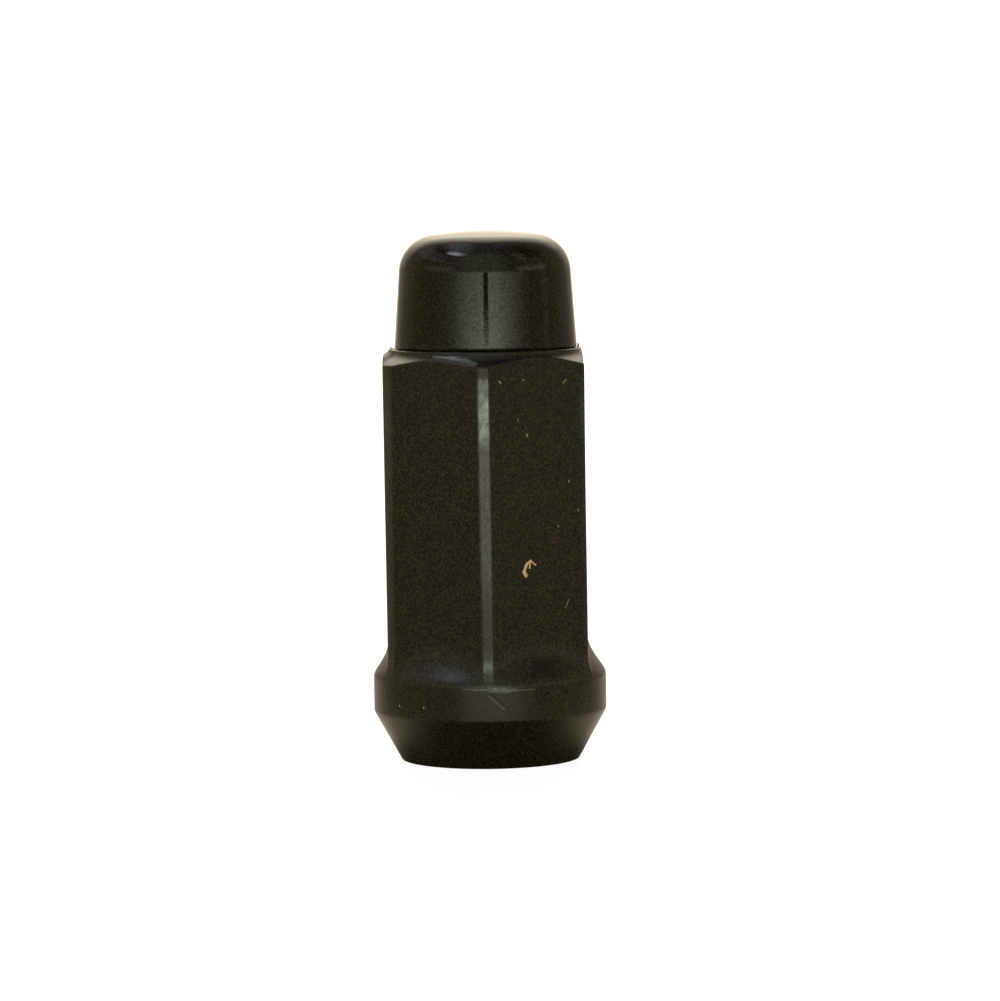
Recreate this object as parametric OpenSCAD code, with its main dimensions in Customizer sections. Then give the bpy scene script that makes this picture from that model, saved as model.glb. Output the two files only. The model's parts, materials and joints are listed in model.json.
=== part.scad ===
// Extra-long bulge lug nut: a forged, tapped body with a drawn cap welded on top.
// Millimetres. The nut stands on its seat end, with the thread axis on +Z and hexagon corners on +Y and -Y.

/* [Hexagon] */
// Width across the flats that the wrench takes
hex_af = 19.05; // [18:0.05:21]
// Diameter that the six corners are turned down to
corner_d = 21.45; // [20.8:0.05:21.8]
// Height of the shoulder that carries the cap
shoulder_z = 39.4; // [30:0.1:50]
// Width of the flat ledge that the shoulder leaves outside the cap
ledge_w = 0.35; // [0.1:0.05:0.6]
// Height of the ring between the ledge and the chamfer
ring_h = 0.6; // [0.4:0.1:1.5]
// Slope of the chamfer below the ring, from the horizontal
chamfer_angle = 26; // [20:1:45]

/* [Collar and seat] */
// Diameter of the collar
collar_d = 22.3; // [21.8:0.1:26]
// Height of the collar's straight band, up to where its ramp starts
band_h = 3.6; // [2.5:0.1:6]
// Slope of the ramp from the collar in to the flats, from the axis
ramp_angle = 35; // [25:1:50]
// Radius of the hollow blend between the ramp and the flats
blend_r = 4; // [2:0.5:6]
// Radius of the collar's upper edge
collar_top_r = 1.2; // [0.4:0.1:1.6]
// Radius of the collar's lower edge
collar_low_r = 0.5; // [0.2:0.1:1]
// Included angle of the conical seat
seat_angle = 60; // [50:1:90]
// Diameter of the seat cone at its end face
seat_end_d = 16.8; // [16:0.1:19]
// Radius of the edge between the seat and the end face
seat_edge_r = 0.3; // [0.2:0.1:1]

/* [Thread] */
// Nominal diameter of the stud thread
thread_d = 12; // [10:1:12]
// Pitch of the stud thread
thread_pitch = 1.5; // [1.25:0.25:1.75]
// How much wider than the thread the countersink at each end is
countersink_extra = 0.8; // [0.2:0.1:1.2]

/* [Cap] */
// Outer diameter of the cap at its rim
cap_d = 17.5; // [17:0.1:17.8]
// Height of the cap above the shoulder
cap_h = 11.2; // [9:0.1:16]
// Thickness of the drawn sheet
cap_wall = 1.2; // [0.8:0.1:1.4]
// Draft of the cap's side
cap_draft = 4; // [1:0.5:6]
// Outer radius between the side and the top
cap_corner_r = 3.6; // [2:0.1:4]
// Radius of the gently domed top
crown_r = 36; // [16:1:60]
// Radius of the rim's outer edge, which leaves the seam line
rim_r = 0.3; // [0.1:0.05:0.5]
// Height of the spigot that centres the cap
spigot_h = 1.5; // [1:0.1:3]
// Lead-in chamfer on the spigot's top edge
spigot_edge = 0.3; // [0.1:0.05:0.5]
// Gap between the spigot and the cap's wall
spigot_gap = 0.05; // [0.02:0.01:0.2]

/* [Hidden] */
$fn = 96;

// Depth that one solid reaches into another where they are fused or cut
overlap = 1;
// Depth that the hollow blend dips below the flats, so that it crosses them cleanly
blend_dip = 0.05;
// How far a corner piece reaches past its corner, as a share of its own size
corner_reach = 1.5;
// Angle at which a rounding arc crosses the edges beside it, close to touching them but cut cleanly
arc_cross = 1;
// Height of a basic thread's ridge as a share of its pitch
ridge_share = 1.0825;

cap_r = cap_d / 2;
cap_top_z = shoulder_z + cap_h;

flat_r = hex_af / 2;
corner_r = corner_d / 2;
shoulder_r = cap_r + ledge_w;
ring_z = shoulder_z - ring_h;
ring_edge_r = ledge_w / 2;
chamfer_h = (corner_r - shoulder_r) * tan(chamfer_angle);

collar_r = collar_d / 2;
seat_end_r = seat_end_d / 2;
band_z = (collar_r - seat_end_r) / tan(seat_angle / 2);
ramp_z = band_z + band_h;
blend_foot_r = flat_r - blend_dip;
ramp_top_z = ramp_z + (collar_r - blend_foot_r) / tan(ramp_angle);
// The blend and the collar's upper edge share the ramp's length, so a short ramp limits the blend
ramp_length = (collar_r - blend_foot_r) / sin(ramp_angle);
fitted_blend_r = min(blend_r, ramp_length / tan(ramp_angle / 2) - collar_top_r);
blend_top_z = ramp_top_z + fitted_blend_r * tan(ramp_angle / 2) + overlap;

bore_r = (thread_d - ridge_share * thread_pitch) / 2;
countersink_r = (thread_d + countersink_extra) / 2;
countersink_h = countersink_r - bore_r;

spigot_r = cap_r - cap_wall / cos(cap_draft) - spigot_gap;
spigot_top_z = shoulder_z + spigot_h;

function unit(v) = v / norm(v);

// Piece that an arc of radius r leaves at the corner p, whose edges run to a and to b. It reaches past the
// corner, so that it crosses both edges squarely.
module corner_piece(p, a, b, r) {
    u = unit(a - p);
    v = unit(b - p);
    half_angle = acos(u * v) / 2;
    depth = r * cos(arc_cross);
    reach = depth / tan(half_angle);
    centre = p + unit(u + v) * depth / sin(half_angle);
    outline = [p, p + u * reach, centre, p + v * reach];
    difference() {
        polygon([for (q = outline) centre + corner_reach * (q - centre)]);
        translate(centre) circle(r);
    }
}

// Half section of the hexagon's turned corners, its top chamfer and the ring under the cap
module shank_section() {
    ring_low = [shoulder_r, ring_z];
    ring_top = [shoulder_r, shoulder_z];
    difference() {
        polygon([
            [0, band_z],
            [corner_r, band_z],
            [corner_r, ring_z - chamfer_h],
            ring_low,
            ring_top,
            [0, shoulder_z]
        ]);
        corner_piece(ring_top, [0, shoulder_z], ring_low, ring_edge_r);
    }
}

// Half section of the seat, the collar and the hollow blend up to the flats
module collar_section() {
    end_edge = [seat_end_r, 0];
    band_low = [collar_r, band_z];
    band_top = [collar_r, ramp_z];
    ramp_top = [blend_foot_r, ramp_top_z];
    blend_top = [blend_foot_r, blend_top_z];
    difference() {
        union() {
            polygon([[0, 0], end_edge, band_low, band_top, ramp_top, blend_top, [0, blend_top_z]]);
            corner_piece(ramp_top, band_top, blend_top, fitted_blend_r);
        }
        corner_piece(end_edge, [0, 0], band_low, seat_edge_r);
        corner_piece(band_low, end_edge, band_top, collar_low_r);
        corner_piece(band_top, band_low, ramp_top, collar_top_r);
    }
}

// Half section of the tapered spigot inside the cap, with its lead-in edge
module spigot_section() {
    lean = tan(cap_draft);
    top_r = spigot_r - (spigot_h - spigot_edge) * lean;
    polygon([
        [0, shoulder_z - overlap],
        [spigot_r + overlap * lean, shoulder_z - overlap],
        [top_r, spigot_top_z - spigot_edge],
        [top_r - spigot_edge, spigot_top_z],
        [0, spigot_top_z]
    ]);
}

// Hexagonal shank with its flats facing +X and -X
module hex_shank() {
    intersection() {
        rotate(30) cylinder(r = flat_r / cos(30), h = shoulder_z + overlap, $fn = 6);
        rotate_extrude() shank_section();
    }
}

// Half section of the tapped hole at its minor diameter, with a countersink at each end
module bore_section() {
    polygon([
        [0, -overlap],
        [countersink_r + overlap, -overlap],
        [bore_r, countersink_h],
        [bore_r, spigot_top_z - countersink_h],
        [countersink_r + overlap, spigot_top_z + overlap],
        [0, spigot_top_z + overlap]
    ]);
}

module nut_body() {
    color("#1d1a14")
    difference() {
        union() {
            hex_shank();
            rotate_extrude() collar_section();
            rotate_extrude() spigot_section();
        }
        rotate_extrude() bore_section();
    }
}

// Half section of a solid cup that lies the given depth inside the cap's outer surface
module cup_section(depth) {
    side_r = cap_r - depth / cos(cap_draft);
    corner = cap_corner_r - depth;
    inset = corner * cos(arc_cross);
    dome = crown_r - depth;
    dome_centre = [0, cap_top_z - crown_r];
    lean = tan(cap_draft);
    // The corner arc's centre is as far from the side as from the dome: a quadratic gives its rise
    foot_r = side_r - inset / cos(cap_draft);
    drop = shoulder_z - dome_centre[1];
    a = 1 + lean * lean;
    b = drop - lean * foot_r;
    c = foot_r * foot_r + drop * drop - pow(dome - inset, 2);
    rise = (-b + sqrt(b * b - a * c)) / a;
    centre = [foot_r - rise * lean, shoulder_z + rise];
    to_side = [cos(cap_draft), sin(cap_draft)];
    to_dome = unit(centre - dome_centre);
    difference() {
        intersection() {
            polygon([
                [0, shoulder_z],
                [side_r, shoulder_z],
                [side_r - cap_h * lean, cap_top_z],
                [0, cap_top_z]
            ]);
            translate(dome_centre) circle(dome);
        }
        translate(centre) difference() {
            polygon(2 * corner * [[0, 0], to_side, [1, 1], to_dome]);
            circle(corner);
        }
    }
}

module end_cap() {
    color("#24211b")
    rotate_extrude() difference() {
        rim_edge = [cap_r, shoulder_z];
        up_the_side = [-sin(cap_draft), cos(cap_draft)];
        cup_section(0);
        cup_section(cap_wall);
        corner_piece(rim_edge, [0, shoulder_z], rim_edge + up_the_side, rim_r);
    }
}

nut_body();
end_cap();
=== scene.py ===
"""Extra-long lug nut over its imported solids: a forged and tapped body and a drawn cap, both coated black."""

import json
import math
from functools import partial
from types import SimpleNamespace

import bmesh
import bpy
from bpy.props import FloatProperty, FloatVectorProperty, IntProperty, PointerProperty
from mathutils import Matrix, Vector


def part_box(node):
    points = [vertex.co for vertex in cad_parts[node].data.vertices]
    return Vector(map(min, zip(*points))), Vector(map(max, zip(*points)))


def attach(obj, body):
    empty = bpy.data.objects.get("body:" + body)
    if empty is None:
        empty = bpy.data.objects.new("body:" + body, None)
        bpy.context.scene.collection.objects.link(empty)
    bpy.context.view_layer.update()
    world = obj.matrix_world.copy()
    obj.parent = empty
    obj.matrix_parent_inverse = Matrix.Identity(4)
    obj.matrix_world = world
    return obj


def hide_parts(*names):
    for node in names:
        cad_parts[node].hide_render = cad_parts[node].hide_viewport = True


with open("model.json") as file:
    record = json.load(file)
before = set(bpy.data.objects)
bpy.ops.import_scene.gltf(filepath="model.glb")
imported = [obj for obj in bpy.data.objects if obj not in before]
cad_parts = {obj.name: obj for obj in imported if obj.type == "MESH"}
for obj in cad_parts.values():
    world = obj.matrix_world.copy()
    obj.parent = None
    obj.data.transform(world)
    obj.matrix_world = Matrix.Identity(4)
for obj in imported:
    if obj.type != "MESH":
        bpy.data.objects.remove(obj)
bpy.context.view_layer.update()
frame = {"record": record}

bl_info = {
    "name": "Extra-Long Lug Nut",
    "version": (1, 0, 0),
    "blender": (4, 5, 0),
    "location": "3D View > Sidebar > Lug Nut",
    "description": "Makes the body, the cap and the studio of an extra-long closed lug nut",
    "category": "Object",
}

MM = 0.001

BODY_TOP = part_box("nut_body")[1]
CAP_FOOT, CAP_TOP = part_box("end_cap")
STUD_THREAD = next(m for m in frame["record"]["mounts"] if m["name"] == "stud_thread")

# The hexagon has six alike sectors, each with a corner in its middle
SECTORS = 6
SECTOR_ANGLE = 2 * math.pi / SECTORS
FRONT_CORNER = -math.pi / 2

# Edges that bend more than this stay sharp
CREASE = math.radians(32)

# Node types that are used often
VECTOR_MATH = "ShaderNodeVectorMath"
MAP_RANGE = "ShaderNodeMapRange"
MIX = "ShaderNodeMix"
NOISE = "ShaderNodeTexNoise"


def linear(hex_colour):
    """Linear red, green and blue of an sRGB hex value such as #1d1a14."""
    parts = [int(hex_colour[i:i + 2], 16) / 255 for i in (1, 3, 5)]
    return tuple(p / 12.92 if p <= 0.04045 else ((p + 0.055) / 1.055) ** 2.4 for p in parts)


def length(name, description, default):
    """A size in metres that the user can change."""
    return FloatProperty(
        name=name, description=description, default=default, precision=5, subtype="DISTANCE", unit="LENGTH"
    )


def angle(name, description, degrees):
    """An angle that the user can change."""
    return FloatProperty(
        name=name, description=description, default=math.radians(degrees), subtype="ANGLE", unit="ROTATION"
    )


def colour(name, description, hex_colour):
    """A colour that the user can change, kept as linear values."""
    return FloatVectorProperty(
        name=name, description=description, default=linear(hex_colour), min=0, max=1, subtype="COLOR"
    )


class NutBodySizes(bpy.types.PropertyGroup):
    """Sizes of the forged and tapped body."""

    flat_radius: length("Flat Radius", "From the axis to each wrench flat", 9.525 * MM)
    flat_offset: length("Flat Offset", "How far the hexagon's foot sits off the turned axis", 0.12 * MM)
    flat_lean: angle("Flat Lean", "How far the forged hexagon leans off the turned axis", 0.27)
    corner_radius: length("Corner Radius", "From the axis to the turned corners", 10.725 * MM)
    ledge_height: length("Ledge Height", "Height of the ledge that carries the cap", CAP_FOOT.z)
    ring_radius: length("Ring Radius", "Radius of the ring under the cap", CAP_TOP.x + 0.35 * MM)
    ring_height: length("Ring Height", "Height of the ring between ledge and chamfer", 0.56 * MM)
    ring_edge: length("Ring Edge", "Radius of the ring's upper edge", 0.175 * MM)
    ring_blend: length("Ring Blend", "Reach of the hollow blend between ring and chamfer", 1.5 * MM)
    chamfer_slope: angle("Chamfer Slope", "Slope of the chamfer from the horizontal", 26)
    collar_radius: length("Collar Radius", "Radius of the collar's band", BODY_TOP.x)
    ramp_height: length("Ramp Height", "Height where the ramp over the collar starts", 8.363 * MM)
    ramp_slope: angle("Ramp Slope", "Slope of the ramp from the axis", 35)
    seat_foot_radius: length("Seat Foot Radius", "Radius of the seat cone at its end face", 8.52 * MM)
    seat_slope: angle("Seat Slope", "Slope of the conical seat from the axis", 28.9)
    seat_edge: length("Seat Edge", "Radius of the edge between seat and end face", 0.25 * MM)
    blend: length("Blend", "Reach of the hollow blend between ramp and flats", 1.3 * MM)
    land_blend: length("Land Blend", "Softness of the edges beside the turned corners", 0.06 * MM)
    chamfer_blend: length("Chamfer Blend", "Softness of the chamfer's lower edge", 0.3 * MM)
    collar_top_blend: length("Collar Top Blend", "Softness of the collar's upper edge", 0.4 * MM)
    collar_low_blend: length("Collar Low Blend", "Softness of the collar's lower edge", 0.14 * MM)
    spigot_radius: length("Spigot Radius", "Radius of the spigot at the ledge", 7.497 * MM)
    spigot_top: length("Spigot Top", "Height of the spigot's top face", BODY_TOP.z)
    spigot_edge: length("Spigot Edge", "Chamfer on the spigot's top edge", 0.3 * MM)
    bore_radius: length("Bore Radius", "Minor radius of the thread", STUD_THREAD["dims"]["r_mm"] * MM)
    thread_radius: length("Thread Radius", "Major radius of the thread", 6 * MM)
    thread_pitch: length("Thread Pitch", "Rise of the thread in one turn", 1.5 * MM)
    mouth_radius: length("Mouth Radius", "Radius of the countersink at each end", 6.4 * MM)
    burr_height: length("Burr Height", "Height of the squeezed metal at the seam", 0.4 * MM)
    swell_height: length("Swell Height", "How far the squeezed metal fills the ring's foot", 0.42 * MM)


class EndCapSizes(bpy.types.PropertyGroup):
    """Sizes of the drawn cap."""

    rim_radius: length("Rim Radius", "Outer radius at the rim", CAP_TOP.x)
    foot: length("Foot", "Height of the rim", CAP_FOOT.z)
    top: length("Top", "Height of the crown", CAP_TOP.z)
    wall: length("Wall", "Thickness of the sheet", 1.2 * MM)
    draft: angle("Draft", "Draft of the side", 4)
    corner: length("Corner", "Outer radius between side and crown", 3.6 * MM)
    crown: length("Crown", "Radius of the domed top", 36 * MM)
    rim_edge: length("Rim Edge", "Radius of the rim's outer edge", 0.3 * MM)
    segments: IntProperty(name="Segments", description="Faces round the cap", default=192, min=24)


class CoatColours(bpy.types.PropertyGroup):
    """Colours of the coat and of what shows through it."""

    coat: colour("Coat", "Black coat on the body", "#1b180e")
    coat_light: colour("Light Coat", "Paler clouds in the coat", "#201d13")
    cap_coat: colour("Cap Coat", "Black coat on the cap", "#18160d")
    # Also the colour of the painted highlights on the collar's edge and the chamfer, and in part on the front
    # corner
    rubbed: colour("Rubbed", "Steel that shows where the coat is rubbed", "#9ba4a4")
    chip: colour("Chip", "Rusty primer in the deep chip", "#d9b884")
    speck: colour("Speck", "Pale specks and fine scratches", "#a39c84")
    # Near-black of the darkened dent and pits, of a darker patch in the right scoop, and of the painted shade
    # on the chamfer and along the ring
    dark_marks_and_shade: colour("Dirt", "Dirt in the dents and the hollows", "#070703")
    thread: colour("Thread", "Cut and oiled thread", "#5d5a52")


class StudioSettings(bpy.types.PropertyGroup):
    """Camera and floor."""

    camera_distance: length("Camera Distance", "From the nut's axis to the camera", 0.44)
    camera_height: length("Camera Height", "Height of the camera over the floor", 0.05938)
    camera_pitch: angle("Camera Pitch", "How far the camera looks down", 4.499)
    camera_yaw: angle("Camera Yaw", "How far the camera looks to the right", 0.153)
    camera_roll: angle("Camera Roll", "How far the camera leans to the right", 0.735)
    lens: FloatProperty(name="Lens", description="Focal length in millimetres", default=165.74, min=1)
    floor: colour("Floor", "Smooth floor", "#57534a")


def set_inputs(tree, node, sockets, values=()):
    """Links or fills a node's inputs, in order or by name."""
    live = [s for s in node.inputs if s.enabled]
    by_name = {s.name: s for s in reversed(live)}
    targets = list(zip(live, values)) + [(by_name[k], v) for k, v in sockets.items()]
    for socket, value in targets:
        if isinstance(value, bpy.types.Node):
            value = next(s for s in value.outputs if s.enabled)
        if isinstance(value, bpy.types.NodeSocket):
            tree.links.new(value, socket)
        else:
            socket.default_value = value


def add_node(tree, kind, *values, sockets=None, **settings):
    """Adds a node, applies its settings, and links or fills its inputs. A kind in capitals is a Math node's
    operation."""
    if kind.isupper():
        kind, settings["operation"] = "ShaderNodeMath", kind
    node = tree.nodes.new(kind)
    for name, value in settings.items():
        setattr(node, name, value)
    set_inputs(tree, node, sockets or {}, values)
    return node


def size_inputs(tree, sizes):
    """Gives the tree one named input for each size, and returns their sockets under its own names."""
    names = {key: sizes.bl_rna.properties[key].name for key in type(sizes).__annotations__}
    for name in names.values():
        tree.interface.new_socket(name, in_out="INPUT", socket_type="NodeSocketFloat")
    outputs = tree.nodes.new("NodeGroupInput").outputs
    return SimpleNamespace(**{key: outputs[name] for key, name in names.items()})


def run_tree(tree, sizes, name):
    """Runs a Geometry Nodes tree with these sizes and returns the result as a plain mesh object."""
    carrier = bpy.data.objects.new(name + "_carrier", bpy.data.meshes.new(name + "_carrier"))
    bpy.context.scene.collection.objects.link(carrier)
    modifier = carrier.modifiers.new("Shape", "NODES")
    modifier.node_group = tree
    keys = {sizes.bl_rna.properties[key].name: key for key in type(sizes).__annotations__}
    for item in tree.interface.items_tree:
        if item.in_out == "INPUT":
            modifier[item.identifier] = getattr(sizes, keys[item.name])
    shaped = carrier.evaluated_get(bpy.context.evaluated_depsgraph_get())
    mesh = bpy.data.meshes.new_from_object(shaped)
    mesh.name = name
    while None in list(mesh.materials):
        mesh.materials.pop(index=list(mesh.materials).index(None))
    bpy.data.objects.remove(carrier)
    piece = bpy.data.objects.new(name, mesh)
    bpy.context.scene.collection.objects.link(piece)
    return piece


# Rows of the body's skin from the end face up: close where the profile turns, wide where it is straight.
# Each stretch has its upper height and its row spacing, in millimetres.
SKIN_STRETCHES = (
    (0.06, 0.015), (0.4, 0.06), (4.4, 0.8), (5.2, 0.07), (7.5, 0.5), (12.8, 0.1), (37.0, 1.2), (39.225, 0.06)
)
COLUMNS = 240
RING_EDGE_STEPS = 4
THREAD_ROWS_PER_PITCH = 8
# Rims that lie closer together than this are merged
MERGE_DISTANCE = 0.002 * MM

# Share of the pitch from the middle of a thread's groove to its crest, and the share that its flank takes
GROOVE_REACH = 3 / 8
FLANK_SHARE = 5 / 16

# Metal that the weld squeezed out at the seam, to the right and the left: cosines of the turn from that side
# where it starts and where it is full, and how much of it each side has
SWELL_COSINES = (0.93, 0.995)
SWELL_RIGHT = 0.2
SWELL_LEFT = 1.0
BURR_COSINES = (0.9965, 0.9995)
BURR_RIGHT = 1.0
BURR_LEFT = 0.5
# How far inside the ring's edge the burr rises, falls and meets the ledge
BURR_RISE = 0.02 * MM
BURR_FALL = 0.14 * MM
BURR_FOOT = 0.2 * MM
# Lumps all along the seam: noise scale on a circle of radius 1, the noise values from none to full, and their
# share of the burr
LUMP_SCALE = 2.3
LUMP_SPAN = (0.5, 0.75)
LUMP_SHARE = 0.3

# Half widths of the turned land on each corner where its wear ends and where it is full
LAND_END = 0.52 * MM
LAND_FULL = 0.44 * MM
# Wear of the other corners as a share of the front corner's, whose full share also paints its highlight
OTHER_WEAR = 0.07


def nut_body_tree(sizes, coat, thread):
    """Geometry Nodes tree of the body: grids wrapped round the axis, whose radius follows the nut's rules."""
    tree = bpy.data.node_groups.new("Forged nut body", "GeometryNodeTree")
    size = size_inputs(tree, sizes)
    tree.interface.new_socket("Geometry", in_out="OUTPUT", socket_type="NodeSocketGeometry")
    n = partial(add_node, tree)

    # Across a grid runs the turn round the axis, and up it the rows
    place = n("ShaderNodeSeparateXYZ", n("GeometryNodeInputPosition"))
    turn = n("ADD", place.outputs["X"], 0.5)
    climb = n("ADD", place.outputs["Y"], 0.5)

    # Columns crowd towards the corner in the middle of each sector
    sectors = n("MULTIPLY", turn, float(SECTORS))
    sector = n("FLOOR", sectors)
    share = n("MULTIPLY_ADD", n("FRACT", sectors), 2.0, -1.0)
    crowded = n("MULTIPLY", share, n("ABSOLUTE", share))
    off_corner = n("MULTIPLY", crowded, SECTOR_ANGLE / 2)
    corner_at = n("MULTIPLY_ADD", sector, SECTOR_ANGLE, FRONT_CORNER)
    around = n("ADD", corner_at, off_corner)
    side = n("SIGN", share)
    flat_at = n("MULTIPLY_ADD", side, SECTOR_ANGLE / 2, corner_at)
    off_flat = n("SUBTRACT", around, flat_at)
    cosine = n("COSINE", around)
    sine = n("SINE", around)

    # Heights of the skin's rows
    skin_top = n("SUBTRACT", size.ledge_height, size.ring_edge)
    rows = []
    low = 0.0
    for high, spacing in SKIN_STRETCHES:
        rows.append((high, math.ceil((high - low) / spacing)))
        low = high
    skin_rows = sum(count for _, count in rows)
    row_heights = n("ShaderNodeFloatCurve", sockets={"Value": climb})
    points = row_heights.mapping.curves[0].points
    done = 0
    for high, count in rows[:-1]:
        done += count
        points.new(done / skin_rows, high / low)
    for point in points:
        point.handle_type = "VECTOR"
    row_heights.mapping.update()
    height = n("MULTIPLY", row_heights, skin_top)

    def at_sides(cosines, right, left, interpolation):
        """Amount of squeezed metal, which rises to its full measure at the nut's right and left."""
        start, full = cosines
        on_right = n(MAP_RANGE, cosine, start, full, 0.0, right, interpolation_type=interpolation)
        on_left = n(MAP_RANGE, cosine, -start, -full, 0.0, left, interpolation_type=interpolation)
        return n("MAXIMUM", on_right, on_left)

    # The forged hexagon sits a little off the axis, and its corners are turned down. Under the cap are a
    # chamfer and a ring, fuller where the weld squeezed metal out to both sides.
    leaning = n("TANGENT", size.flat_lean)
    swelling = at_sides(SWELL_COSINES, SWELL_RIGHT, SWELL_LEFT, "SMOOTHSTEP")
    plain_foot = n("SUBTRACT", size.ledge_height, size.ring_height)
    ring_foot = n("MULTIPLY_ADD", swelling, size.swell_height, plain_foot)
    chamfer_lean = n("TANGENT", size.chamfer_slope)

    def off_axis_at(level):
        """How far the hexagon's own axis is off the turned one at a height."""
        return n("MULTIPLY_ADD", level, leaning, size.flat_offset)

    def shank_at(level):
        """Radius of the hexagon, its chamfer and the ring under the cap at a height."""
        shift = n("MULTIPLY", n("COSINE", flat_at), off_axis_at(level))
        flat_reach = n("SUBTRACT", size.flat_radius, shift)
        hexagon = n("DIVIDE", flat_reach, n("COSINE", off_flat))
        turned = n("SMOOTH_MIN", hexagon, size.corner_radius, size.land_blend)
        below_ring = n("SUBTRACT", ring_foot, level)
        chamfer_run = n("DIVIDE", below_ring, chamfer_lean)
        chamfer = n("ADD", size.ring_radius, chamfer_run)
        ringed = n("SMOOTH_MAX", chamfer, size.ring_radius, size.ring_blend)
        return n("SMOOTH_MIN", turned, ringed, size.chamfer_blend)

    shank = shank_at(height)
    rim = shank_at(skin_top)

    # The ramp rises out of the flats in a hollow blend, and the collar cuts it off
    above_ramp = n("SUBTRACT", height, size.ramp_height)
    ramp_run = n("MULTIPLY", above_ramp, n("TANGENT", size.ramp_slope))
    ramp = n("SUBTRACT", size.collar_radius, ramp_run)
    scooped = n("SMOOTH_MAX", shank, ramp, size.blend)
    collar = n("SMOOTH_MIN", scooped, size.collar_radius, size.collar_top_blend)

    # The seat's cone ends in a rounded edge at the end face
    seat_lean = n("TANGENT", size.seat_slope)
    cone = n("MULTIPLY_ADD", height, seat_lean, size.seat_foot_radius)
    half_bend = n("MULTIPLY", n("SUBTRACT", math.pi / 2, size.seat_slope), 0.5)
    edge_reach = n("MULTIPLY", size.seat_edge, n("TANGENT", half_bend))
    end_radius = n("SUBTRACT", size.seat_foot_radius, edge_reach)
    below_centre = n("SUBTRACT", size.seat_edge, height)
    arc_square = n("SUBTRACT", n("POWER", size.seat_edge, 2.0), n("POWER", below_centre, 2.0))
    arc = n("ADD", end_radius, n("SQRT", arc_square))
    edge_top = n("MULTIPLY", edge_reach, n("COSINE", size.seat_slope))
    on_edge = n("LESS_THAN", height, edge_top)
    seat = n("GeometryNodeSwitch", on_edge, cone, arc, input_type="FLOAT")
    skin = n("SMOOTH_MIN", collar, seat, size.collar_low_blend)

    # Land on each corner, where wrenches wear the coat, most of all on the front corner of sector 0, whose
    # larger share also paints that corner's highlight
    lean = n("MULTIPLY", n("SINE", corner_at), off_axis_at(height))
    from_corner = n("MULTIPLY", off_corner, size.corner_radius)
    off_land = n("ABSOLUTE", n("SUBTRACT", from_corner, lean))
    on_land = n(MAP_RANGE, off_land, LAND_END, LAND_FULL, 0.0, 1.0)
    other = n("GREATER_THAN", sector, 0.5)
    wear = n("MULTIPLY_ADD", other, OTHER_WEAR - 1, 1.0)
    wear_and_highlight = n("MULTIPLY", on_land, wear)

    # Ring edge, ledge with its squeezed burr, spigot and its top face, row by row
    circle = n("ShaderNodeCombineXYZ", cosine, sine, 0.0)
    lumps = n(NOISE, sockets={"Vector": circle, "Scale": LUMP_SCALE, "Detail": 3.0})
    squeeze = n(MAP_RANGE, lumps, *LUMP_SPAN, 0.0, 1.0)
    burrs = at_sides(BURR_COSINES, BURR_RIGHT, BURR_LEFT, "LINEAR")
    lumpy = n("MULTIPLY_ADD", squeeze, LUMP_SHARE, burrs)
    bead = n("MULTIPLY_ADD", lumpy, size.burr_height, size.ledge_height)
    spigot_lip = n("SUBTRACT", size.spigot_top, size.spigot_edge)
    spigot_inner = n("SUBTRACT", size.spigot_radius, size.spigot_edge)
    ring_inner = n("SUBTRACT", rim, size.ring_edge)
    shoulder = []
    for step in range(RING_EDGE_STEPS + 1):
        bend = math.pi / 2 * step / RING_EDGE_STEPS
        shoulder.append((
            n("MULTIPLY_ADD", size.ring_edge, math.cos(bend), ring_inner),
            n("MULTIPLY_ADD", size.ring_edge, math.sin(bend), skin_top),
        ))
    for inward, level in ((BURR_RISE, bead), (BURR_FALL, bead), (BURR_FOOT, size.ledge_height)):
        shoulder.append((n("SUBTRACT", ring_inner, inward), level))
    shoulder += [
        (size.spigot_radius, size.ledge_height),
        (size.spigot_radius, spigot_lip),
        (spigot_inner, size.spigot_top),
        (size.mouth_radius, size.spigot_top),
    ]
    shoulder_rows = len(shoulder) - 1
    row = n("ROUND", n("MULTIPLY", climb, float(shoulder_rows)))
    row_number = n("FunctionNodeFloatToInt", row)
    switches = []
    for row_values in zip(*shoulder):
        switch = n("GeometryNodeIndexSwitch", data_type="FLOAT")
        while len(switch.index_switch_items) < len(shoulder):
            switch.index_switch_items.new()
        set_inputs(tree, switch, {}, (row_number, *row_values))
        switches.append(switch)
    shoulder_radius, shoulder_height = switches

    # Right-hand thread: the rows follow its helix down the hole, past both countersinks
    thread_turns = math.ceil(sizes.spigot_top / sizes.thread_pitch) + 1
    thread_rows = thread_turns * THREAD_ROWS_PER_PITCH
    thread_row = n("ROUND", n("MULTIPLY", climb, float(thread_rows)))
    pitches = n("MULTIPLY", thread_row, 1 / THREAD_ROWS_PER_PITCH)
    from_start = n("SUBTRACT", around, FRONT_CORNER - SECTOR_ANGLE / 2)
    helix_turns = n("DIVIDE", from_start, 2 * math.pi)
    drop = n("MULTIPLY", n("SUBTRACT", helix_turns, pitches), size.thread_pitch)
    helix = n("ADD", size.spigot_top, drop)
    thread_height = n("ShaderNodeClamp", helix, 0.0, size.spigot_top)
    from_groove = n("SUBTRACT", n("FRACT", pitches), 0.5)
    groove_gap = n("SUBTRACT", n("ABSOLUTE", from_groove), GROOVE_REACH)
    depth = n("ShaderNodeClamp", n("MULTIPLY", groove_gap, -1 / FLANK_SHARE))
    ridge = n("SUBTRACT", size.thread_radius, size.bore_radius)
    threaded = n("MULTIPLY_ADD", depth, ridge, size.bore_radius)
    above = n("SUBTRACT", size.spigot_top, thread_height)
    to_mouth = n("MINIMUM", thread_height, above)
    countersink = n("SUBTRACT", size.mouth_radius, to_mouth)
    bore = n("MAXIMUM", threaded, countersink)

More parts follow.
